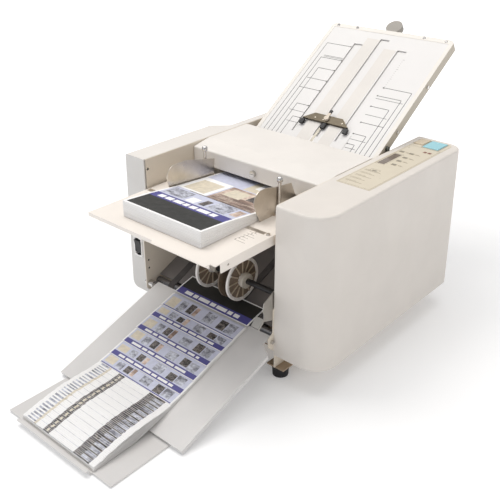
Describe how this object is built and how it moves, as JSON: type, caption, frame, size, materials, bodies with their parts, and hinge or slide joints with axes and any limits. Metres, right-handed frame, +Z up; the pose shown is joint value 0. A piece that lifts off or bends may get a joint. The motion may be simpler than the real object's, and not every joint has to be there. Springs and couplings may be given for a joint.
{
  "type": "paper folding machine",
  "caption": "Desk paper folding machine: sloped upper fold plate with sliding stop, feed table with side guides, geared fold rollers, exit wheels and receiving tray.",
  "frame": {"origin": "on the desk plane, under the middle of the two side covers", "axes": "+X along the rollers to the control side, +Y to the rear, +Z up"},
  "size_m": [0.5354, 1.1084, 0.5898],
  "materials": {
    "white_cover": "semi-gloss",
    "moulded_cover": "fine texture",
    "plated_sheet": "zinc plated",
    "bright_steel": "plated",
    "steel_roller": "ground",
    "roller_rubber": "matt",
    "belt_rubber": "matt",
    "foot_rubber": "matt",
    "table_paint": "semi-gloss",
    "rail_steel": "satin",
    "black_plastic": "matt",
    "wheel_plastic": "matt",
    "membrane": "satin film",
    "display": "window",
    "blue_key": "gloss",
    "beige_key": "gloss",
    "paper": "uncoated",
    "dark_sheet": "matt",
    "board": "board",
    "motor_case": "matt",
    "knob_grey": "matt",
    "white_plastic": "gloss",
    "brass_gear": "acetal"
  },
  "bodies": {
    "machine_frame": {"left_frame_plate": "plated_sheet", "right_frame_plate": "plated_sheet", "base_rails_and_pan": "plated_sheet", "cross_stays": "bright_steel", "rubber_feet": "foot_rubber", "left_cover": "moulded_cover", "right_cover": "moulded_cover", "frame_studs": "bright_steel", "roller_bearings": "bright_steel", "separator_pad": "roller_rubber", "belts": "belt_rubber", "motor": "motor_case", "feed_table": "table_paint", "guide_rail": "rail_steel", "upper_plate_face": "white_cover", "upper_plate_back": "plated_sheet", "upper_plate_rails": "knob_grey", "upper_plate_brackets": "bright_steel", "lower_fold_plate": "plated_sheet", "exit_bed": "dark_sheet", "exit_side_guide": "plated_sheet", "tray_hinge_rod": "bright_steel", "panel_overlay": "membrane", "display_window": "display", "control_board": "board", "switch_bezel": "white_plastic", "power_inlet": "black_plastic", "power_supply": "plated_sheet"},
    "first_roller": {"fold_roller_a": "steel_roller"},
    "main_roller": {"fold_roller_b": "steel_roller"},
    "third_roller": {"fold_roller_c": "steel_roller"},
    "last_roller": {"fold_roller_d": "steel_roller"},
    "idler": {"idler_gear": "brass_gear"},
    "feed_wheel": {"feed_shaft": "bright_steel", "feed_roller": "roller_rubber"},
    "motor_rotor": {"motor_pulley": "steel_roller"},
    "left_guide": {"left_side_guide": "rail_steel"},
    "left_lock": {"left_side_lock_knob": "bright_steel"},
    "right_guide": {"right_side_guide": "rail_steel"},
    "right_lock": {"right_side_lock_knob": "bright_steel"},
    "feed_cover": {"top_cover": "white_cover"},
    "cover_screw": {"top_cover_screw": "bright_steel"},
    "fold_stop": {"paper_stop": "rail_steel", "stop_feet": "black_plastic"},
    "clamp_lever": {"stop_clamp_lever": "black_plastic"},
    "adjust_knob": {"plate_adjust_knob": "knob_grey"},
    "skew_adjuster": {"skew_knob": "black_plastic"},
    "lower_stop": {"lower_paper_stop": "rail_steel"},
    "conveyor_front": {"conveyor_front_roller": "steel_roller"},
    "conveyor_rear": {"conveyor_rear_roller": "steel_roller"},
    "press_wheels": {"exit_shaft": "bright_steel", "exit_wheels": "wheel_plastic"},
    "delivery_tray": {"receiving_tray": "white_cover"},
    "delivery_extension": {"tray_extension": "white_cover"},
    "delivered_pile": {"folded_sheets": "paper"},
    "last_sheet": {"leaving_sheet": "paper"},
    "feed_pile": {"feed_paper_stack": "paper"},
    "start_key": {"start_button": "blue_key"},
    "stop_key": {"stop_button": "beige_key"},
    "power_switch": {"power_rocker": "black_plastic"}
  },
  "joints": [
    {"name": "main_drive", "type": "hinge", "parent": "machine_frame", "child": "main_roller", "pos_m": [0, 0.02562, 0.3086], "axis": [1, 0, 0], "continuous": true},
    {"name": "first_roller_spin", "type": "hinge", "parent": "machine_frame", "child": "first_roller", "pos_m": [0, 0.00338, 0.3422], "axis": [1, 0, 0], "continuous": true},
    {"name": "third_roller_spin", "type": "hinge", "parent": "machine_frame", "child": "third_roller", "pos_m": [0, 0.05649, 0.3345], "axis": [1, 0, 0], "continuous": true},
    {"name": "last_roller_spin", "type": "hinge", "parent": "machine_frame", "child": "last_roller", "pos_m": [0, 0.03941, 0.27073], "axis": [1, 0, 0], "continuous": true},
    {"name": "idler_spin", "type": "hinge", "parent": "machine_frame", "child": "idler", "pos_m": [0.1625, -0.03731, 0.34685], "axis": [1, 0, 0], "continuous": true},
    {"name": "feed_spin", "type": "hinge", "parent": "machine_frame", "child": "feed_wheel", "pos_m": [0, -0.07799, 0.3515], "axis": [1, 0, 0], "continuous": true},
    {"name": "motor_spin", "type": "hinge", "parent": "machine_frame", "child": "motor_rotor", "pos_m": [0.21, 0.06, 0.15], "axis": [1, 0, 0], "continuous": true},
    {"name": "conveyor_rear_spin", "type": "hinge", "parent": "machine_frame", "child": "conveyor_rear", "pos_m": [0, -0.01407, 0.18829], "axis": [1, 0, 0], "continuous": true},
    {"name": "conveyor_front_spin", "type": "hinge", "parent": "machine_frame", "child": "conveyor_front", "pos_m": [0, -0.23867, 0.09296], "axis": [1, 0, 0], "continuous": true},
    {"name": "press_wheel_spin", "type": "hinge", "parent": "machine_frame", "child": "press_wheels", "pos_m": [0, -0.221, 0.176], "axis": [1, 0, 0], "continuous": true},
    {"name": "left_guide_slide", "type": "slide", "parent": "machine_frame", "child": "left_guide", "axis": [1, 0, 0], "range_m": [-0.05, 0.003]},
    {"name": "left_lock_turn", "type": "hinge", "parent": "left_guide", "child": "left_lock", "pos_m": [-0.1365, -0.142, 0.39], "axis": [0, 0, 1], "continuous": true},
    {"name": "right_guide_slide", "type": "slide", "parent": "machine_frame", "child": "right_guide", "axis": [1, 0, 0], "range_m": [-0.003, 0.042]},
    {"name": "right_lock_turn", "type": "hinge", "parent": "right_guide", "child": "right_lock", "pos_m": [0.0925, -0.172, 0.39], "axis": [0, 0, 1], "continuous": true},
    {"name": "feed_cover_lift", "type": "hinge", "parent": "machine_frame", "child": "feed_cover", "pos_m": [0, 0.059, 0.379], "axis": [-1, 0, 0], "range_deg": [0, 80]},
    {"name": "cover_screw_turn", "type": "hinge", "parent": "feed_cover", "child": "cover_screw", "pos_m": [-0.0256, -0.115, 0.3565], "axis": [0, 1, 0], "continuous": true},
    {"name": "fold_stop_slide", "type": "slide", "parent": "machine_frame", "child": "fold_stop", "axis": [0, 0.8339, 0.5519], "range_m": [-0.014, 0.255]},
    {"name": "clamp_lever_turn", "type": "hinge", "parent": "fold_stop", "child": "clamp_lever", "pos_m": [-0.0235, 0.13855, 0.4135], "axis": [0, -0.5519, 0.8339], "range_deg": [-50, 50]},
    {"name": "plate_adjust_turn", "type": "hinge", "parent": "machine_frame", "child": "adjust_knob", "pos_m": [-0.03, 0.41199, 0.5729], "axis": [0, -0.5519, 0.8339], "continuous": true},
    {"name": "skew_turn", "type": "hinge", "parent": "machine_frame", "child": "skew_adjuster", "pos_m": [0.146, 0.12514, 0.38664], "axis": [1, 0, 0], "continuous": true},
    {"name": "lower_stop_slide", "type": "slide", "parent": "machine_frame", "child": "lower_stop", "axis": [0, 0.6428, -0.766], "range_m": [-0.12, 0.06]},
    {"name": "tray_lift", "type": "hinge", "parent": "machine_frame", "child": "delivery_tray", "pos_m": [0, -0.262, 0.094], "axis": [-1, 0, 0], "range_deg": [0, 35]},
    {"name": "extension_slide", "type": "slide", "parent": "delivery_tray", "child": "delivery_extension", "axis": [0, -1, 0], "range_m": [0, 0.045]},
    {"name": "pile_lift_off", "type": "slide", "parent": "delivery_tray", "child": "delivered_pile", "axis": [0, -0.5, 0.866], "range_m": [0, 0.035]},
    {"name": "last_sheet_pull", "type": "slide", "parent": "machine_frame", "child": "last_sheet", "axis": [0, -0.9205, 0.3907], "range_m": [0, 0.045]},
    {"name": "feed_pile_pull", "type": "slide", "parent": "machine_frame", "child": "feed_pile", "axis": [0, -1, 0], "range_m": [0, 0.35]},
    {"name": "start_press", "type": "slide", "parent": "machine_frame", "child": "start_key", "axis": [0, 0, -1], "range_m": [0, 0.0015], "stiffness_N_per_m": 800, "springref_m": -0.002},
    {"name": "stop_press", "type": "slide", "parent": "machine_frame", "child": "stop_key", "axis": [0, 0, -1], "range_m": [0, 0.0015], "stiffness_N_per_m": 800, "springref_m": -0.002},
    {"name": "power_rock", "type": "hinge", "parent": "machine_frame", "child": "power_switch", "pos_m": [-0.24, -0.25, 0.17], "axis": [-1, 0, 0], "range_deg": [0, 14]}
  ],
  "couplings": [
    {"joint": "first_roller_spin", "follows": "main_drive", "ratio": -1},
    {"joint": "third_roller_spin", "follows": "main_drive", "ratio": -1},
    {"joint": "last_roller_spin", "follows": "main_drive", "ratio": -1},
    {"joint": "idler_spin", "follows": "main_drive", "ratio": 0.96875},
    {"joint": "feed_spin", "follows": "main_drive", "ratio": -1},
    {"joint": "motor_spin", "follows": "main_drive", "ratio": 3},
    {"joint": "conveyor_front_spin", "follows": "conveyor_rear_spin", "ratio": 1}
  ]
}
